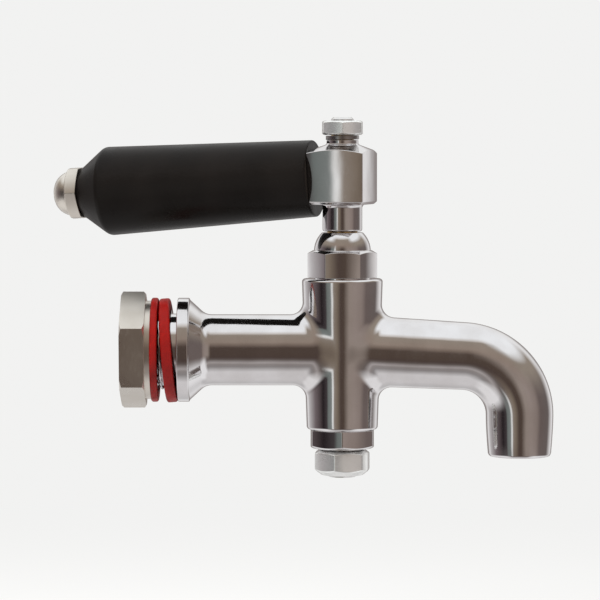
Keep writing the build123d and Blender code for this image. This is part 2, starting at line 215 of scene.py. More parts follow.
def choose(tree, factor, plain, other):
    """Mixes two shaders by a factor, such as one of the light path's flags."""
    node = new_node(tree, "ShaderNodeMixShader")
    feed(tree, node.inputs, (factor, plain, other))
    return node.outputs[0]


world = bpy.data.worlds.new("room")
bpy.context.scene.world = world
world.use_nodes = True
tree = world.node_tree
tree.nodes.clear()
path = new_node(tree, "ShaderNodeLightPath").outputs
even = new_node(tree, "ShaderNodeBackground")
feed(tree, even.inputs, ((1, 0.995, 0.985, 1), plain_light))
room = new_node(tree, "ShaderNodeBackground")
direction = new_node(tree, "ShaderNodeTexCoord").outputs["Generated"]
feed(tree, room.inputs, (room_view(tree, direction), 1.0))
plain = new_node(tree, "ShaderNodeBackground")
feed(tree, plain.inputs, (backdrop_grey, 1.0))
lit = choose(tree, path["Is Glossy Ray"], even.outputs[0], room.outputs[0])
output = new_node(tree, "ShaderNodeOutputWorld")
feed(tree, [output.inputs["Surface"]], [choose(tree, path["Is Camera Ray"], lit, plain.outputs[0])])

# Two softboxes, high on the left and on the right, for the dull surfaces alone: polished
# metal sees the pale ceiling that they light.
for name, place, size, power in (
    ("softbox_left", (-220, -260, 330), 200, 1.7),
    ("softbox_right", (300, -150, 300), 120, 0.8),
):
    lamp = bpy.data.lights.new(name, "AREA")
    lamp.shape = "DISK"
    lamp.size = size * mm
    lamp.energy = power
    lamp_object = bpy.data.objects.new(name, lamp)
    bpy.context.scene.collection.objects.link(lamp_object)
    lamp_object.visible_glossy = False
    lamp_object.location = Vector(place) * mm
    aim = view_target - lamp_object.location
    lamp_object.rotation_euler = aim.to_track_quat("-Z", "Y").to_euler()

# The floor: a pale table top below the tap, with the tap's shadow on it. It fades into the
# backdrop away from the tap, and polished metal sees the room's lower half in its place.
floor_level = -95 * mm
floor_radius = 1.6
fade_start = 0.18
fade_end = 0.45
floor_mesh = bpy.data.meshes.new("floor")
turn = np.linspace(0, 2 * np.pi, 64, endpoint=False)
rim = np.column_stack([np.cos(turn), np.sin(turn), np.zeros(turn.size)]) * floor_radius
floor_mesh.from_pydata((rim + (0, 0, floor_level)).tolist(), [], [list(range(turn.size))])
floor = bpy.data.objects.new("floor", floor_mesh)
bpy.context.scene.collection.objects.link(floor)
floor.visible_glossy = False
floor_material = bpy.data.materials.new("pale_table")
floor_material.use_nodes = True
tree = floor_material.node_tree
tree.nodes.clear()
backdrop = new_node(tree, "ShaderNodeEmission")
feed(tree, backdrop.inputs, (backdrop_grey, 1.0))
glow = new_node(tree, "ShaderNodeEmission")
feed(tree, glow.inputs, (backdrop_grey, 0.55))
dull = new_node(tree, "ShaderNodeBsdfDiffuse")
feed(tree, dull.inputs, [(0.41, 0.41, 0.405, 1)])
table_top = new_node(tree, "ShaderNodeAddShader")
feed(tree, table_top.inputs, (glow.outputs[0], dull.outputs[0]))
place = new_node(tree, "ShaderNodeTexCoord").outputs["Object"]
away = new_node(tree, "ShaderNodeVectorMath", operation="LENGTH")
tree.links.new(place, away.inputs[0])
fade = ramp(tree, away.outputs["Value"], [(fade_start, grey(0)), (fade_end, grey(1))])
shown = choose(tree, fade, table_top.outputs[0], backdrop.outputs[0])
floor_out = new_node(tree, "ShaderNodeOutputMaterial")
tree.links.new(shown, floor_out.inputs["Surface"])
floor_mesh.materials.append(floor_material)


# Body casting: brass, cast in one piece with its tail, flange, barrel and spout,
# then polished and chromed. The tail is threaded for a half-inch pipe nut, and the
# arms grow out of the barrel with rounded roots.
arm_radius = 9.384 * mm
flange_radius = 13.7475 * mm
flange_rim = 3.2 * mm
flare_end = 7.4 * mm
barrel_x = 43.5 * mm
barrel_top_radius = 10.7 * mm
barrel_bottom_radius = 9.4 * mm
barrel_top = 18.9 * mm
barrel_bottom = -21.0 * mm
barrel_edge = 0.8 * mm
root_radius = 3.2 * mm
spout_reach = 47.0 * mm
spout_drop = 28.2 * mm
spout_slope = math.radians(2.9)
spout_bend = 15.6 * mm
spout_root = 9.484 * mm
spout_waist = 8.934 * mm
spout_tip = 8.284 * mm
spout_lip = 0.8 * mm
waterway_radius = 6.2 * mm
mouth_depth = 3.0 * mm
tail_length = 14.6 * mm
tail_lip = 0.4 * mm
thread_major = 10.478 * mm
thread_depth = 1.16 * mm
thread_pitch = 1.814 * mm
thread_start = 1.6 * mm
thread_stop = -tail_length + 1.4 * mm
undercut_radius = thread_major - 0.9 * mm
root_reach = 19.0 * mm
barrel_high = 14.5 * mm
barrel_low = -14.5 * mm
casting_columns = 144

run_length = (spout_reach - spout_bend) / math.cos(spout_slope)
run_length += spout_bend * math.tan(spout_slope)
bend_turn = math.pi / 2 - spout_slope
bend_middle_x = barrel_x + spout_reach - spout_bend
bend_middle_z = -run_length * math.sin(spout_slope) - spout_bend * math.cos(spout_slope)
drop_length = spout_drop + bend_middle_z
spout_length = run_length + bend_turn * spout_bend + drop_length


def rounded(points, radii, steps=6):
    """A profile of (radius, height) points with an arc of the given radius at each corner.
    Each arc touches both sides of its corner at radius over tan of half the corner's angle.
    A point close to both ends of each straight keeps it flat between its rounded ends."""
    guard = 0.03 * mm
    points = [np.array(point, float) for point in points]
    made = [points[0]]

    def run_to(place):
        """Goes straight on to a place, by way of a guard point near each end."""
        way = place - made[-1]
        length = np.linalg.norm(way)
        if length > 5 * guard:
            made.extend([made[-1] + way * guard / length, place - way * guard / length])
        made.append(place)

    for before, corner, after, radius in zip(points, points[1:], points[2:], radii):
        back = (before - corner) / np.linalg.norm(before - corner)
        ahead = (after - corner) / np.linalg.norm(after - corner)
        half = math.acos(np.clip(back @ ahead, -1, 1)) / 2
        if radius <= 0 or half > math.pi / 2 - 1e-3:
            run_to(corner)
            continue
        middle = corner + (back + ahead) / np.linalg.norm(back + ahead) * radius / math.sin(half)
        start = corner + back * radius / math.tan(half) - middle
        end = corner + ahead * radius / math.tan(half) - middle
        sweep = math.acos(np.clip(start @ end / radius**2, -1, 1))
        run_to(middle + start)
        for share in np.linspace(0, 1, steps)[1:]:
            weight = np.sin([(1 - share) * sweep, share * sweep]) / math.sin(sweep)
            made.append(middle + weight[0] * start + weight[1] * end)
    run_to(points[-1])
    return np.array(made)


def turned(profile, columns=96):
    """A surface of revolution about Z: each (radius, height) row becomes a circle."""
    angle = np.linspace(0, 2 * np.pi, columns, endpoint=False)
    radius, level = np.asarray(profile).T
    x = radius[:, None] * np.cos(angle)
    y = radius[:, None] * np.sin(angle)
    return np.stack([x, y, np.repeat(level[:, None], columns, 1)], axis=-1)


def add_piece(name, grids, material, body, stands_for, place=None):
    """A mesh from grids of points whose last column joins the first. Grids that share an
    edge are joined, poles are closed and every face is turned outwards. Edges that turn by
    more than the sharp angle stay crisp."""
    sharp_turn = math.radians(40)
    points, faces, count = [], [], 0
    for grid in grids:
        rows, columns = grid.shape[:2]
        index = np.arange(rows * columns).reshape(rows, columns) + count
        index = np.hstack([index, index[:, :1]])
        quads = [index[:-1, :-1], index[:-1, 1:], index[1:, 1:], index[1:, :-1]]
        points.append(grid.reshape(-1, 3))
        faces.append(np.stack(quads, axis=-1).reshape(-1, 4))
        count += rows * columns
    mesh = bpy.data.meshes.new(name)
    mesh.from_pydata(np.vstack(points).tolist(), [], np.vstack(faces).tolist())
    shaping = bmesh.new()
    shaping.from_mesh(mesh)
    bmesh.ops.remove_doubles(shaping, verts=shaping.verts, dist=2e-6)
    bmesh.ops.dissolve_degenerate(shaping, edges=shaping.edges, dist=1e-7)
    bmesh.ops.recalc_face_normals(shaping, faces=shaping.faces)
    shaping.to_mesh(mesh)
    shaping.free()
    if place is not None:
        mesh.transform(place)
    mesh.polygons.foreach_set("use_smooth", [True] * len(mesh.polygons))
    mesh.set_sharp_from_angle(angle=sharp_turn)
    mesh.materials.append(material)
    piece = bpy.data.objects.new(name, mesh)
    bpy.context.scene.collection.objects.link(piece)
    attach(piece, body)
    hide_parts(*stands_for)
    return piece


def arm_level(x):
    """Height of the arms' axis: level towards the tank, falling gently towards the spout."""
    return -np.maximum(x - barrel_x, 0) * math.tan(spout_slope)


def barrel_size(level):
    """Radius of the barrel at a level: a straight taper from its foot to its head."""
    share = np.clip((level - barrel_bottom) / (barrel_top - barrel_bottom), 0, 1)
    return barrel_bottom_radius + share * (barrel_top_radius - barrel_bottom_radius)


def casting_gap(p):
    """Above zero outside the casting's barrel and arms, below zero inside. Two round bars
    are joined by a fillet whose radius fades out where the bars run side by side."""
    x, y, z = p[..., 0] - barrel_x, p[..., 1], p[..., 2]
    up = z - arm_level(p[..., 0])
    arm = np.hypot(y, up) + 1e-12
    barrel = np.hypot(x, y) + 1e-12
    spout_size = spout_root + (spout_waist - spout_root) * x / run_length
    a = arm - np.where(x < 0, arm_radius, spout_size)
    b = barrel - barrel_size(z)
    crossing = np.sqrt(np.clip(1 - (y * y) / (arm * barrel), 0, 1))
    fillet = root_radius * crossing + 0.15 * mm
    corner = np.hypot(np.maximum(fillet - a, 0), np.maximum(fillet - b, 0))
    return np.maximum(fillet, np.minimum(a, b)) - corner


def reach(start, heading, far=16 * mm, steps=44):
    """Where rays leave the casting: the gap's zero, found by halving."""
    low = np.zeros(start.shape[:-1])
    high = np.full(start.shape[:-1], far)
    for _ in range(steps):
        middle = (low + high) / 2
        outside = casting_gap(start + heading * middle[..., None]) > 0
        high = np.where(outside, middle, high)
        low = np.where(outside, low, middle)
    return start + heading * low[..., None]


def arm_root(side, end_x, rows=26):
    """The arm's skin from the mitre with the barrel out to a round ring at end_x: rays across
    the arm's axis, whose places run out with the power 1.3 of their share of the way, and
    whose bearings ease from the mitre's to even ones."""
    u = np.linspace(0, 2 * np.pi, casting_columns, endpoint=False)
    mitre = np.stack([side * np.abs(np.sin(u)) / 2**0.5, np.cos(u), np.sin(u) / 2**0.5], axis=-1)
    centre = np.broadcast_to((barrel_x, 0, 0), mitre.shape)
    seam = reach(centre, mitre)
    share = np.linspace(0, 1, rows)[1:, None] ** 1.3
    x = seam[:, 0] + share * (end_x - seam[:, 0])
    first = np.unwrap(np.arctan2(seam[:, 2] - arm_level(seam[:, 0]), seam[:, 1]))
    ease = share * share * (3 - 2 * share)
    angle = first + (u - first) * ease
    start = np.stack([x, np.zeros_like(x), arm_level(x)], axis=-1)
    heading = np.stack([np.zeros_like(x), np.cos(angle), np.sin(angle)], axis=-1)
    return np.concatenate([seam[None], reach(start, heading)])


def barrel_root(side, end_z, rows=22):
    """The barrel's skin from its mitres with the arms up or down to a round ring at end_z,
    by rays across the barrel's axis that run out and ease as the arm's do."""
    u = np.linspace(0, 2 * np.pi, casting_columns, endpoint=False)
    mitre = np.stack([np.sin(u) / 2**0.5, np.cos(u), side * np.abs(np.sin(u)) / 2**0.5], axis=-1)
    centre = np.broadcast_to((barrel_x, 0, 0), mitre.shape)
    seam = reach(centre, mitre)
    share = np.linspace(0, 1, rows)[1:, None] ** 1.3
    z = seam[:, 2] + share * (end_z - seam[:, 2])
    first = np.unwrap(np.arctan2(seam[:, 0] - barrel_x, seam[:, 1]))
    ease = share * share * (3 - 2 * share)
    angle = first + (u - first) * ease
    start = np.stack([np.full_like(z, barrel_x), np.zeros_like(z), z], axis=-1)
    heading = np.stack([np.sin(angle), np.cos(angle), np.zeros_like(z)], axis=-1)
    return np.concatenate([seam[None], reach(start, heading)])


def spout_line(along):
    """Places and upward normals on the spout's centre line, at distances from the barrel:
    a gently falling run, a quarter bend and a drop."""
    along = np.asarray(along, float)
    straight = np.minimum(along - run_length, 0)
    turn = np.clip((along - run_length) / spout_bend, 0, bend_turn) + spout_slope
    drop = np.maximum(along - run_length - bend_turn * spout_bend, 0)
    x = bend_middle_x + spout_bend * np.sin(turn) + straight * math.cos(spout_slope)
    z = bend_middle_z + spout_bend * np.cos(turn) - straight * math.sin(spout_slope) - drop
    normal = np.stack([np.sin(turn), np.zeros_like(turn), np.cos(turn)], axis=-1)
    return np.stack([x, np.zeros_like(x), z], axis=-1), normal


def tube(place, normal, radius):
    """A round skin about a line: the circle's first axis is +Y and its second the normal."""
    u = np.linspace(0, 2 * np.pi, casting_columns, endpoint=False)[None, :, None]
    across = np.array([0.0, 1.0, 0.0])
    ring = np.cos(u) * across + np.sin(u) * normal[:, None, :]
    return place[:, None, :] + np.asarray(radius)[:, None, None] * ring


def tail_thread(low, high):
    """Thread on the tail: the radius follows a wave, cut flat at its crests and roots, that
    climbs one pitch a turn and fades out at both ends."""
    u = np.linspace(0, 2 * np.pi, casting_columns, endpoint=False)
    x = np.arange(low, high, thread_pitch / 14)[:, None]
    phase = x / thread_pitch - u / (2 * np.pi)
    wave = np.clip(0.5 - 0.625 * np.cos(2 * np.pi * phase), 0, 1)
    run_in = np.clip((x - low) / thread_pitch + 0.35, 0, 1)
    run_out = np.clip((high - x) / thread_pitch, 0, 1)
    radius = thread_major - thread_depth * wave * run_in * run_out
    return np.stack([x + 0 * radius, radius * np.cos(u), radius * np.sin(u)], axis=-1)


def spout_radius(along):
    """The spout's outside: a long taper on the run, even round the bend, then a short taper
    that starts gently, with the power 1.6 of the way down the drop."""
    run_share = np.clip(along / run_length, 0, 1)
    drop_share = np.clip((along - spout_length + drop_length) / drop_length, 0, 1)
    run_taper = (spout_waist - spout_root) * run_share
    drop_taper = (spout_tip - spout_waist) * drop_share**1.6
    return spout_root + run_taper + drop_taper


def rings_about_arm(profile):
    """Circles about the inlet's axis from (place, radius) rows."""
    u = np.linspace(0, 2 * np.pi, casting_columns, endpoint=False)
    x, radius = np.asarray(profile, float).T[:, :, None]
    return np.stack([x + 0 * u, radius * np.cos(u), radius * np.sin(u)], axis=-1)


def rings_about_barrel(profile):
    """Circles about the plug's axis from (level, radius) rows."""
    u = np.linspace(0, 2 * np.pi, casting_columns, endpoint=False)
    z, radius = np.asarray(profile, float).T[:, :, None]
    return np.stack([barrel_x + radius * np.sin(u), radius * np.cos(u), z + 0 * u], axis=-1)


def surface_wear():
    """Group: smears, water marks and fine scratches, as a mask and as a height."""
    group = bpy.data.node_groups.new("surface_wear", "ShaderNodeTree")
    group.interface.new_socket("Marks per metre", in_out="INPUT", socket_type="NodeSocketFloat")
    group.interface.new_socket("Smears", in_out="OUTPUT", socket_type="NodeSocketFloat")
    group.interface.new_socket("Scratches", in_out="OUTPUT", socket_type="NodeSocketFloat")
    group.interface.new_socket("Ripple", in_out="OUTPUT", socket_type="NodeSocketFloat")
    entry = group.nodes.new("NodeGroupInput")
    leave = group.nodes.new("NodeGroupOutput")
    place = new_node(group, "ShaderNodeTexCoord").outputs["Object"]
    scale = entry.outputs["Marks per metre"]

    def noise(times, detail, stretch=None):
        spot = place
        if stretch:
            mapping = new_node(group, "ShaderNodeMapping")
            mapping.inputs["Scale"].default_value = stretch
            group.links.new(place, mapping.inputs["Vector"])
            spot = mapping.outputs["Vector"]
        node = new_node(group, "ShaderNodeTexNoise")
        node.inputs["Detail"].default_value = detail
        group.links.new(spot, node.inputs["Vector"])
        group.links.new(maths(group, "MULTIPLY", scale, times), node.inputs["Scale"])
        return node.outputs["Fac"]

    smears = ramp(group, noise(1.0, 5, (1, 1, 0.6)), [(0.35, (0, 0, 0)), (0.72, (1, 1, 1))])
    group.links.new(smears, leave.inputs["Smears"])
    lines = ramp(group, noise(9.0, 2, (1, 6, 0.4)), [(0.58, (0, 0, 0)), (0.66, (1, 1, 1))])
    group.links.new(lines, leave.inputs["Scratches"])
    group.links.new(noise(0.8, 1), leave.inputs["Ripple"])
    return group


wear_group = surface_wear()


def polished_metal(name, colour, shade, rough, rough_marks, ripple, marks=160, scratch=0.04):
    """Plated metal: a clear mirror with smears that dull it a little, a slow ripple left by
    polishing and hair scratches. Shade is the colour in the smears."""
    material = bpy.data.materials.new(name)
    material.use_nodes = True
    tree = material.node_tree
    shader = tree.nodes["Principled BSDF"]
    shader.inputs["Metallic"].default_value = 1.0
    wear = new_node(tree, "ShaderNodeGroup")
    wear.node_tree = wear_group
    wear.inputs["Marks per metre"].default_value = marks
    tint = ramp(tree, wear.outputs["Smears"], [(0, colour), (1, shade)])
    tree.links.new(tint, shader.inputs["Base Color"])
    dull = maths(tree, "MULTIPLY_ADD", wear.outputs["Smears"], rough_marks, rough)
    dull = maths(tree, "ADD", dull, maths(tree, "MULTIPLY", wear.outputs["Scratches"], scratch))
    tree.links.new(dull, shader.inputs["Roughness"])
    bump = new_node(tree, "ShaderNodeBump")
    bump.inputs["Strength"].default_value = 1.0
    bump.inputs["Distance"].default_value = ripple
    tree.links.new(wear.outputs["Ripple"], bump.inputs["Height"])
    tree.links.new(bump.outputs["Normal"], shader.inputs["Normal"])
    return material


chrome = polished_metal(
    "chrome", (0.80, 0.79, 0.80, 1), (0.70, 0.68, 0.68, 1), 0.05, 0.07, 0.10 * mm, marks=140
)
arm_end = barrel_x - root_reach
arm_profile = rounded(
    [
        (arm_end, arm_radius),
        (flare_end, arm_radius),
        (flange_rim, flange_radius - 0.5 * mm),
        (flange_rim - 0.2 * mm, flange_radius),
        (0, flange_radius),
        (0, undercut_radius),
        (-thread_start, undercut_radius),
    ],
    [4.0 * mm, 0.8 * mm, 0.3 * mm, 0.35 * mm, 0.1 * mm, 0, 0],
)
tail_end = rounded(
    [
        (thread_stop, thread_major - 0.1 * mm),
        (-tail_length + 0.9 * mm, thread_major - 0.1 * mm),
        (-tail_length, thread_major - 1.0 * mm),
        (-tail_length, waterway_radius + tail_lip),
        (-tail_length + tail_lip, waterway_radius),
    ],
    [0.1 * mm, 0.2 * mm, 0.2 * mm],
)
thread_rows = tail_thread(thread_stop, -thread_start)[::-1]
barrel_head = rounded(
    [
        (barrel_high, barrel_size(barrel_high)),
        (barrel_top, barrel_top_radius),
        (barrel_top, 0),
    ],
    [barrel_edge],
)
barrel_foot = rounded(
    [
        (barrel_low, barrel_size(barrel_low)),
        (barrel_bottom, barrel_bottom_radius),
        (barrel_bottom, 0),
    ],
    [barrel_edge],
)
spout_rows = np.linspace(root_reach + 1.2 * mm, spout_length - spout_lip, 74)
mouth = rounded(
    [
        (spout_length - spout_lip, spout_tip),
        (spout_length, spout_tip),
        (spout_length, waterway_radius),
        (spout_length - mouth_depth, waterway_radius),
    ],
    [spout_lip, 0.4 * mm],
    steps=8,
)
inner_rows = np.linspace(spout_length - mouth_depth, 0, 60)
inner_arm = [(x, waterway_radius) for x in np.linspace(barrel_x, -tail_length + tail_lip, 20)]
outlet_root = arm_root(1, barrel_x + root_reach)
inlet_root = arm_root(-1, arm_end)
add_piece(
    "body_casting_chromed",
    [
        np.concatenate([inlet_root, rings_about_arm(arm_profile[1:])]),
        np.concatenate([
            rings_about_arm([arm_profile[-1]]),
            thread_rows,
            rings_about_arm(tail_end),
        ]),
        np.concatenate([barrel_root(1, barrel_high), rings_about_barrel(barrel_head[1:])]),
        np.concatenate([barrel_root(-1, barrel_low), rings_about_barrel(barrel_foot[1:])]),
        np.concatenate([
            outlet_root,
            tube(*spout_line(spout_rows), spout_radius(spout_rows)),
            tube(*spout_line(mouth[1:, 0]), mouth[1:, 1]),
            tube(*spout_line(inner_rows[1:]), np.full(inner_rows.size - 1, waterway_radius)),
            rings_about_arm(inner_arm[1:]),
        ]),
    ],
    chrome,
    "tap_body",
    stands_for=["body_casting"],
)


# Gland nut: hexagonal, with a rounded crown round the spindle, screwed into the barrel's
# top. It is turned from chromed brass, with its corners cut back at the top.
nut_cut = (0.97, 30)
no_cut = (2, 0)
gland_flats = 16.0 * mm
gland_low, gland_high = (corner.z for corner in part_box("gland_nut"))
gland_hex_low = barrel_top + 0.3 * mm
gland_hex_high = gland_hex_low + 7.2 * mm
gland_crown_base = 7.5 * mm
gland_crown_top = 5.4 * mm
skirt_radius = 7.4 * mm
spindle_bore = 4.05 * mm
bore_edge = 0.4 * mm


def arc(start, end, bulge, steps):
    """Points on an arc from start to end, standing out from its chord by the bulge."""
    start, end = np.array(start, float), np.array(end, float)
    chord = end - start
    length = np.linalg.norm(chord)
    outward = np.array([chord[1], -chord[0]]) / length
    radius = (length**2 / 4 + bulge**2) / (2 * bulge)
    half = math.asin(min(length / 2 / radius, 1))
    turn = np.linspace(-half, half, steps)[:, None]
    middle = (start + end) / 2 + outward * (bulge - radius)
    return middle + radius * (np.sin(turn) * chord / length + np.cos(turn) * outward)


def outline(corners, bulges, per_side=16):
    """A closed outline through corners that go round Z. Each face stands out by its bulge, as
    buffing leaves it, so that it mirrors more of the room than a flat face does."""
    ends = [*corners[1:], corners[0]]
    least = 0.001 * mm
    return np.concatenate([
        arc(start, end, max(bulge, least), per_side + 1)[:-1]
        for start, end, bulge in zip(corners, ends, bulges)
    ])


def about(shape, rows):
    """Rows about Z on the bearings of an outline's points. A row (radius, level, 0) is a circle
    and (share, level, 1) is the outline at a share of its size."""
    distance, bearing = np.hypot(*shape.T), np.arctan2(shape[:, 1], shape[:, 0])
    size, level, follows = np.asarray(rows, float).T[:, :, None]
    radius = np.where(follows > 0, size * distance, size)
    x, y = radius * np.cos(bearing), radius * np.sin(bearing)
    return np.stack([x, y, level + 0 * radius], axis=-1)


def nut(flats, low, high, below, above, low_cut=nut_cut, high_cut=nut_cut, buffed=0.0):
    """A nut's skin: circles (radius, level) below and above a hexagon whose corners are cut
    back by cones, so that a cut's edge falls by the tangent of the cone's angle. A cut is the
    share of half the flats at which its cone starts, and that angle in degrees."""
    turn = np.radians(np.arange(-30, 330, 60))
    corners = flats / math.sqrt(3) * np.column_stack([np.cos(turn), np.sin(turn)])
    shape = outline(list(corners), [buffed] * 6)
    body = about(shape, [(1, low, 1), (1, high, 1)])
    ends = body.copy()
    radius = np.hypot(*shape.T)
    for row, (share, slope), inwards in ((0, low_cut, 1), (1, high_cut, -1)):
        start = flats / 2 * share
        ends[row, :, :2] *= np.minimum(start / radius, 1)[:, None]
        fall = np.maximum(radius - start, 0) * math.tan(math.radians(slope))
        body[row, :, 2] += inwards * fall
    lower = about(shape, [(*row, 0) for row in below])
    upper = about(shape, [(*row, 0) for row in above])
    return np.concatenate([lower, ends[:1], body, ends[1:], upper])


def soften(piece, width, segments=3, angle=18):
    """Takes the sharpness off the edges that turn by more than an angle."""
    bevel = piece.modifiers.new("soften", "BEVEL")
    bevel.width = width
    bevel.segments = segments
    bevel.limit_method = "ANGLE"
    bevel.angle_limit = math.radians(angle)
    bevel.harden_normals = True
    if "sharp_edge" in piece.data.attributes:
        piece.data.attributes.remove(piece.data.attributes["sharp_edge"])


plug_place = Matrix.Translation((barrel_x, 0, 0))
flats_to_front = Matrix.Rotation(math.radians(30), 4, "Z")
gland_crown = arc((gland_crown_base, gland_hex_high), (gland_crown_top, gland_high), 0.5 * mm, 12)
gland_nut = add_piece(
    "gland_nut_chromed",
    [nut(
        gland_flats,
        gland_hex_low,
        gland_hex_high,
        [(spindle_bore, gland_low), (skirt_radius, gland_low), (skirt_radius, gland_hex_low)],
        [
            *gland_crown,
            (spindle_bore + bore_edge, gland_high),
            (spindle_bore, gland_high - bore_edge),
        ],
        low_cut=no_cut,
        buffed=0.45 * mm,
    )],
    chrome,
    "tap_body",
    stands_for=["gland_nut"],
    place=plug_place @ flats_to_front,
)
soften(gland_nut, 0.25 * mm)


# Bottom bush: a hexagonal chromed brass bush screwed up into the barrel. It is open below,
# where the plug's spring and its keyed washer sit.
bush_flats = 16.0 * mm
bush_low, bush_high = (corner.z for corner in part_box("bottom_bush"))
bush_bore = 4.05 * mm
bush_ledge = 1.6 * mm
spring_room = 6.1 * mm
bottom_bush = add_piece(
    "bottom_bush_chromed",
    [nut(
        bush_flats,
        bush_low,
        barrel_bottom,
        [
            (bush_bore, bush_high),
            (bush_bore, bush_high - bush_ledge),
            (spring_room, bush_high - bush_ledge),
            (spring_room, bush_low),
        ],
        [(skirt_radius, barrel_bottom), (skirt_radius, bush_high), (bush_bore, bush_high)],
        high_cut=no_cut,
        buffed=0.4 * mm,
    )],
    chrome,
    "tap_body",
    stands_for=["bottom_bush"],
    place=plug_place,
)
soften(bottom_bush, 0.25 * mm)


# Tail nut: holds the keyed washer up against the spring. A plain steel nut with a rounded
# lower end, dull and pale with zinc, on the plug's threaded end.
zinc = polished_metal(
    "zinc_plate", (0.89, 0.90, 0.89, 1), (0.79, 0.80, 0.79, 1), 0.18, 0.10, 0.04 * mm, marks=260
)
zinc.node_tree.nodes["Principled BSDF"].inputs["Metallic"].default_value = 0.8
tail_nut_flats = 13.0 * mm
stud_bore = 4.05 * mm
nut_low, nut_high = (corner.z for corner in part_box("tail_nut"))
handle_turn = math.radians(-16)
turned_place = plug_place @ Matrix.Rotation(handle_turn, 4, "Z")
tail_nut = add_piece(
    "tail_nut_zinc",
    [nut(
        tail_nut_flats,
        nut_low,
        nut_high,
        [(stud_bore, nut_high), (stud_bore, nut_low)],
        [(stud_bore, nut_high)],
        low_cut=(0.84, 38),
        high_cut=(0.93, 35),
        buffed=0.5 * mm,
    )],
    zinc,
    "cock",
    stands_for=["tail_nut"],
    place=turned_place,
)
soften(tail_nut, 0.3 * mm)


# Handle hub: a square block of chromed brass with a round neck below and a boss above. Its
# side towards the grip is cut square to the handle, which droops a little, so that side
# reaches further out towards its top.
hub_low, hub_high = (corner.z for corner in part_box("handle_hub"))
hub_half = 7.5 * mm
hub_bulge = 0.6 * mm
hub_bore = 3.2 * mm
hub_neck_radius = 5.25 * mm
hub_boss_radius = 4.2 * mm
hub_block_low = hub_low + 7.1 * mm
hub_block_high = hub_block_low + 15.7 * mm
hub_edge = 0.7 * mm
hub_crown_radius = 4.6 * mm
hub_crown_slope = math.radians(20)
handle_droop = math.radians(3.6)
handle_level = (hub_block_low + hub_block_high) / 2 - 0.55 * mm
hub_rows = [
    (hub_bore, hub_low, 0),
    (hub_neck_radius - 0.35 * mm, hub_low, 0),
    (hub_neck_radius, hub_low + 0.35 * mm, 0),
    (hub_neck_radius, hub_block_low - 0.8 * mm, 0),
    (hub_neck_radius + 0.25 * mm, hub_block_low - 0.25 * mm, 0),
    (hub_neck_radius + 0.8 * mm, hub_block_low, 0),
    (1 - hub_edge / hub_half, hub_block_low, 1),
    (1, hub_block_low + hub_edge, 1),
    (1, hub_block_high, 1),
    (hub_crown_radius, hub_block_high, 0),
    (hub_boss_radius, hub_block_high + 0.3 * mm, 0),
    (hub_boss_radius, hub_high, 0),
    (hub_bore, hub_high, 0),
    (hub_bore, hub_low, 0),
]
hub_corners = hub_half * np.array([(-1, -1), (1, -1), (1, 1), (-1, 1)])
hub_shape = outline(hub_corners, [hub_bulge, hub_bulge / 2, hub_bulge, 0])
hub_skin = about(hub_shape, hub_rows)
block_rows, crown_row = slice(6, 9), 8
beyond_crown = np.hypot(*hub_skin[crown_row, :, :2].T) - hub_crown_radius
hub_skin[crown_row, :, 2] -= beyond_crown * math.tan(hub_crown_slope)
side_reach = (hub_half + (hub_skin[..., 2] - handle_level) * math.sin(handle_droop)) / hub_half
towards_grip = hub_skin[block_rows, :, 0] < 0
side_reach = side_reach[block_rows] / math.cos(handle_droop)
hub_skin[block_rows, :, 0] *= np.where(towards_grip, side_reach, 1)
handle_hub = add_piece(
    "handle_hub_chromed",
    [hub_skin],
    chrome,
    "cock",
    stands_for=["handle_hub"],
    place=turned_place,
)
soften(handle_hub, 0.3 * mm)


# Hub nut and its split washer: they clamp the hub down on the spindle's square. The nut is
# zinc-plated like the one below, and the washer is bare spring steel, cut and sprung open.
hub_nut_flats = 10.0 * mm
hub_nut_bore = 3.05 * mm
washer_inner = 3.1 * mm
washer_outer = 4.4 * mm
washer_climb = 0.24 * mm
washer_split = 0.09
hub_nut_low, hub_nut_high = (corner.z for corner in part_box("hub_nut"))
washer_low, washer_high = (corner.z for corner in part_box("lock_washer"))
hub_nut = add_piece(
    "hub_nut_zinc",
    [nut(
        hub_nut_flats,
        hub_nut_low,
        hub_nut_high,
        [(hub_nut_bore, hub_nut_low)],
        [
            (hub_nut_bore + bore_edge, hub_nut_high),
            (hub_nut_bore, hub_nut_high - bore_edge),
            (hub_nut_bore, hub_nut_low),
        ],
        buffed=0.35 * mm,
    )],
    zinc,
    "cock",
    stands_for=["hub_nut"],
    place=plug_place,
)
soften(hub_nut, 0.2 * mm)


def split_ring(inner, outer, low, high, gap, climb, steps=60):
    """A spring washer: a flat section carried round on a helix that climbs a little,
    closed by a square cut at each end."""
    turn = np.linspace(gap, 2 * np.pi - gap, steps)
    corners = rounded(
        [(inner, high), (outer, high), (outer, low), (inner, low), (inner, high)],
        [0.15 * mm] * 3,
    )
    radius, level = corners.T
    lift = (turn / (2 * np.pi) - 0.5)[:, None] * climb
    x, y = radius * np.cos(turn)[:, None], radius * np.sin(turn)[:, None]
    skin = np.stack([x, y, level + lift], axis=-1)[:, :-1]
    ends = [np.repeat(skin[i].mean(0)[None], skin.shape[1], 0)[None] for i in (0, -1)]
    return np.concatenate([ends[0], skin, ends[1]])


spring_metal = polished_metal(
    "spring_steel", (0.46, 0.45, 0.45, 1), (0.30, 0.28, 0.26, 1), 0.24, 0.22, 0.02 * mm, marks=420
)
lock_washer = add_piece(
    "lock_washer_steel",
    [split_ring(
        washer_inner,
        washer_outer,
        washer_low + washer_climb / 2,
        washer_high - washer_climb / 2,
        washer_split,
        washer_climb,
    )],
    spring_metal,
    "cock",
    stands_for=["lock_washer"],
    place=turned_place @ Matrix.Rotation(math.radians(130), 4, "Z"),
)
soften(lock_washer, 0.05 * mm, 2)
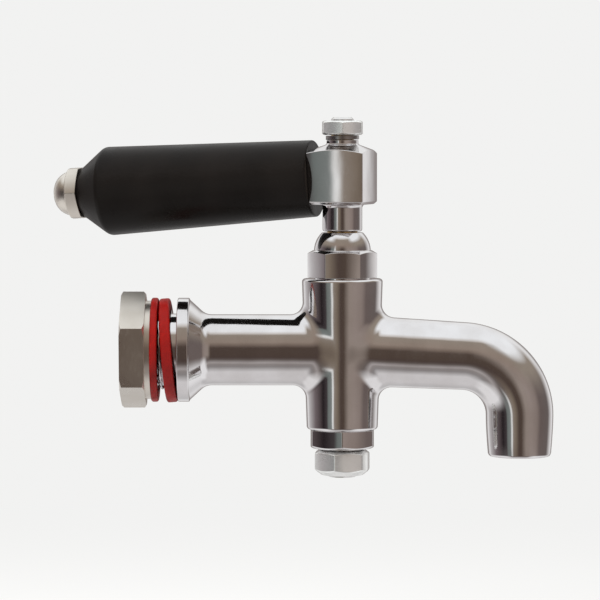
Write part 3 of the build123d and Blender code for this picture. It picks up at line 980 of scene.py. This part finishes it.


# Grip: moulded from black phenolic resin, widest near its outer end, with a cone down to the
# cap nut. A stud runs through it. Long handling has left it a little duller in patches.
grip_start = 7.5 * mm
grip_length = 65.2 * mm
grip_end = grip_start + grip_length
grip_root_radius = 10.15 * mm
grip_shoulder_radius = 11.95 * mm
grip_end_radius = 6.4 * mm
grip_nose = 7.4 * mm
handle_place = (
    turned_place
    @ Matrix.Translation((0, 0, handle_level))
    @ Matrix.Rotation(math.radians(-90) - handle_droop, 4, "Y")
)


def moulded_resin(name, colour, worn):
    """Black phenolic: near-black with a brown cast, a soft shine that wears unevenly and a
    faint orange peel."""
    material = bpy.data.materials.new(name)
    material.use_nodes = True
    tree = material.node_tree
    shader = tree.nodes["Principled BSDF"]
    shader.inputs["Specular IOR Level"].default_value = 0.11
    wear = new_node(tree, "ShaderNodeGroup")
    wear.node_tree = wear_group
    wear.inputs["Marks per metre"].default_value = 70
    tint = ramp(tree, wear.outputs["Smears"], [(0, colour), (1, worn)])
    tree.links.new(tint, shader.inputs["Base Color"])
    dull = maths(tree, "MULTIPLY_ADD", wear.outputs["Smears"], 0.14, 0.26)
    dull = maths(tree, "ADD", dull, maths(tree, "MULTIPLY", wear.outputs["Scratches"], 0.08))
    tree.links.new(dull, shader.inputs["Roughness"])
    place = new_node(tree, "ShaderNodeTexCoord").outputs["Object"]
    peel = new_node(tree, "ShaderNodeTexNoise")
    peel.inputs["Scale"].default_value = 900
    peel.inputs["Detail"].default_value = 3
    tree.links.new(place, peel.inputs["Vector"])
    bump = new_node(tree, "ShaderNodeBump")
    bump.inputs["Distance"].default_value = 0.02 * mm
    bump.inputs["Strength"].default_value = 0.6
    tree.links.new(peel.outputs["Fac"], bump.inputs["Height"])
    tree.links.new(bump.outputs["Normal"], shader.inputs["Normal"])
    return material


bakelite = moulded_resin("black_phenolic", (0.006, 0.005, 0.0045, 1), (0.010, 0.008, 0.007, 1))
grip_profile = rounded(
    [
        (stud_bore, grip_start),
        (grip_root_radius, grip_start),
        (grip_shoulder_radius, grip_end - grip_nose),
        (grip_end_radius, grip_end),
        (stud_bore, grip_end),
        (stud_bore, grip_start),
    ],
    [0.4 * mm, 2.2 * mm, 0.5 * mm, 0],
    steps=9,
)
add_piece(
    "grip_phenolic",
    [turned(grip_profile, 128)],
    bakelite,
    "cock",
    stands_for=["grip"],
    place=handle_place,
)


# Cap nut: a domed hexagonal nut, turned from brass and plainly nickel-plated. It is screwed
# on the end of the handle's stud, which stops in its blind bore, and clamps the grip.
cap_flats = 13.0 * mm
cap_hex = 3.6 * mm
cap_dome = 4.3 * mm
cap_dome_radius = 6.0 * mm
cap_bore_end = grip_end + 6.4 * mm
nickel = polished_metal(
    "nickel_plate", (0.78, 0.74, 0.68, 1), (0.70, 0.65, 0.58, 1), 0.26, 0.10, 0.04 * mm, marks=120
)
cap_top = arc(
    (cap_dome_radius, grip_end + cap_hex), (0, grip_end + cap_hex + cap_dome), 1.7 * mm, 14
)
cap_nut = add_piece(
    "cap_nut_nickel",
    [nut(
        cap_flats,
        grip_end,
        grip_end + cap_hex,
        [(0, cap_bore_end), (stud_bore, cap_bore_end), (stud_bore, grip_end)],
        cap_top,
        low_cut=no_cut,
        buffed=0.35 * mm,
    )],
    nickel,
    "cock",
    stands_for=["cap_nut"],
    place=handle_place,
)
soften(cap_nut, 0.25 * mm)


# Back nut: a flat nickel-plated pipe nut on the tail. It pulls the flange and its gaskets
# against the tank's wall, and bears on the inner gasket with a turned collar.
back_low, back_high = (corner.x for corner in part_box("back_nut"))
back_flats = 27.0 * mm
back_collar = 1.4 * mm
back_collar_radius = 13.0 * mm
back_thread_radius = 9.6 * mm
back_mouth_radius = 10.9 * mm
back_mouth_depth = 1.2 * mm
back_cut = (1.09, 30)
back_turn = math.radians(35.5)
along_inlet = Matrix.Rotation(math.radians(90), 4, "Y")
back_nut = add_piece(
    "back_nut_nickel",
    [nut(
        back_flats,
        back_low,
        back_high - back_collar,
        [(back_thread_radius, back_low + back_mouth_depth), (back_mouth_radius, back_low)],
        [
            (back_collar_radius, back_high - back_collar),
            (back_collar_radius, back_high),
            (back_mouth_radius, back_high),
            (back_thread_radius, back_high - back_mouth_depth),
            (back_thread_radius, back_low + back_mouth_depth),
        ],
        low_cut=back_cut,
        high_cut=back_cut,
        buffed=0.15 * mm,
    )],
    nickel,
    "tap_body",
    stands_for=["back_nut"],
    place=along_inlet @ Matrix.Rotation(back_turn, 4, "Z"),
)
soften(back_nut, 0.3 * mm)


# Gaskets: two rings of red silicone, soft-edged, that seal the tank's wall between flange and
# back nut. With no wall there the outer one leans away from the flange at the top, on to the
# inner one, and stands a little askew.
gasket_radius = 13.7975 * mm
gasket_bore = 10.8975 * mm
gasket_edge = 0.6 * mm
gasket_lean = math.radians(4.4)
gasket_skew = math.radians(-0.6)


def silicone(name, colour, deep):
    """Red silicone rubber: soft sheen, light through its thin edges, dust and mould specks."""
    material = bpy.data.materials.new(name)
    material.use_nodes = True
    tree = material.node_tree
    shader = tree.nodes["Principled BSDF"]
    shader.inputs["IOR"].default_value = 1.41
    shader.inputs["Specular IOR Level"].default_value = 0.35
    shader.inputs["Subsurface Weight"].default_value = 0.25
    shader.inputs["Subsurface Radius"].default_value = (1.0, 0.25, 0.2)
    shader.inputs["Subsurface Scale"].default_value = 0.9 * mm
    wear = new_node(tree, "ShaderNodeGroup")
    wear.node_tree = wear_group
    wear.inputs["Marks per metre"].default_value = 260
    tint = ramp(tree, wear.outputs["Smears"], [(0, colour), (1, deep)])
    tree.links.new(tint, shader.inputs["Base Color"])
    dull = maths(tree, "MULTIPLY_ADD", wear.outputs["Smears"], 0.18, 0.42)
    tree.links.new(dull, shader.inputs["Roughness"])
    place = new_node(tree, "ShaderNodeTexCoord").outputs["Object"]
    grain = new_node(tree, "ShaderNodeTexNoise")
    grain.inputs["Scale"].default_value = 1600
    tree.links.new(place, grain.inputs["Vector"])
    bump = new_node(tree, "ShaderNodeBump")
    bump.inputs["Distance"].default_value = 0.02 * mm
    tree.links.new(grain.outputs["Fac"], bump.inputs["Height"])
    tree.links.new(bump.outputs["Normal"], shader.inputs["Normal"])
    return material


def gasket_skin(low, high):
    """A ring with rounded edges about the tail's axis, from low to high."""
    profile = rounded(
        [
            (gasket_bore, (low + high) / 2),
            (gasket_bore, low),
            (gasket_radius, low),
            (gasket_radius, high),
            (gasket_bore, high),
            (gasket_bore, (low + high) / 2),
        ],
        [0.2 * mm, gasket_edge, gasket_edge, 0.2 * mm],
    )
    return turned(profile, 128)


red_silicone = silicone("red_silicone", (0.25, 0.004, 0.002, 1), (0.17, 0.003, 0.002, 1))
foot = Matrix.Translation((0, 0, -gasket_radius))
askew = Matrix.Rotation(gasket_skew, 4, "Z")
leaning = foot @ Matrix.Rotation(-gasket_lean, 4, "Y") @ foot.inverted() @ askew
for node, stance in (("outer_gasket", leaning), ("inner_gasket", Matrix.Identity(4))):
    gasket_low, gasket_high = (corner.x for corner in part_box(node))
    add_piece(
        f"{node}_silicone",
        [gasket_skin(gasket_low, gasket_high)],
        red_silicone,
        "tap_body",
        stands_for=[node],
        place=stance @ along_inlet,
    )


# Inner works: the brass plug, its washers, spring, packing and the handle's stud. They keep
# their own solids, and only the plug's two threaded ends show, which are plated.
brass = polished_metal(
    "bare_brass", (0.60, 0.44, 0.20, 1), (0.46, 0.32, 0.15, 1), 0.22, 0.2, 0.02 * mm, marks=320
)
plug_metal = polished_metal(
    "plug_brass", (0.60, 0.44, 0.20, 1), (0.46, 0.32, 0.15, 1), 0.2, 0.16, 0.02 * mm, marks=320
)
tree = plug_metal.node_tree
base_colour = tree.nodes["Principled BSDF"].inputs["Base Color"]
place = new_node(tree, "ShaderNodeSeparateXYZ")
tree.links.new(new_node(tree, "ShaderNodeTexCoord").outputs["Object"], place.inputs[0])
plated_places = [(-31, 1), (-29, 0), (58, 0), (60, 1)]
along_plug = maths(tree, "MULTIPLY_ADD", place.outputs["Z"], 5.0, 0.5)
plated = ramp(
    tree, along_plug, [(0.5 + 5.0 * level * mm, grey(share)) for level, share in plated_places]
)
bare = base_colour.links[0].from_socket
tree.links.new(blend(tree, plated, bare, (0.80, 0.79, 0.78, 1)), base_colour)
packing = silicone("white_packing", (0.80, 0.80, 0.77, 1), (0.70, 0.69, 0.66, 1))
for node, material in (
    ("plug", plug_metal),
    ("gland_follower", brass),
    ("thrust_washer", brass),
    ("tail_spring", spring_metal),
    ("key_washer", spring_metal),
    ("handle_stud", spring_metal),
    ("packing_ring_1", packing),
    ("packing_ring_2", packing),
    ("packing_ring_3", packing),
):
    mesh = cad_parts[node].data
    mesh.materials.clear()
    mesh.materials.append(material)
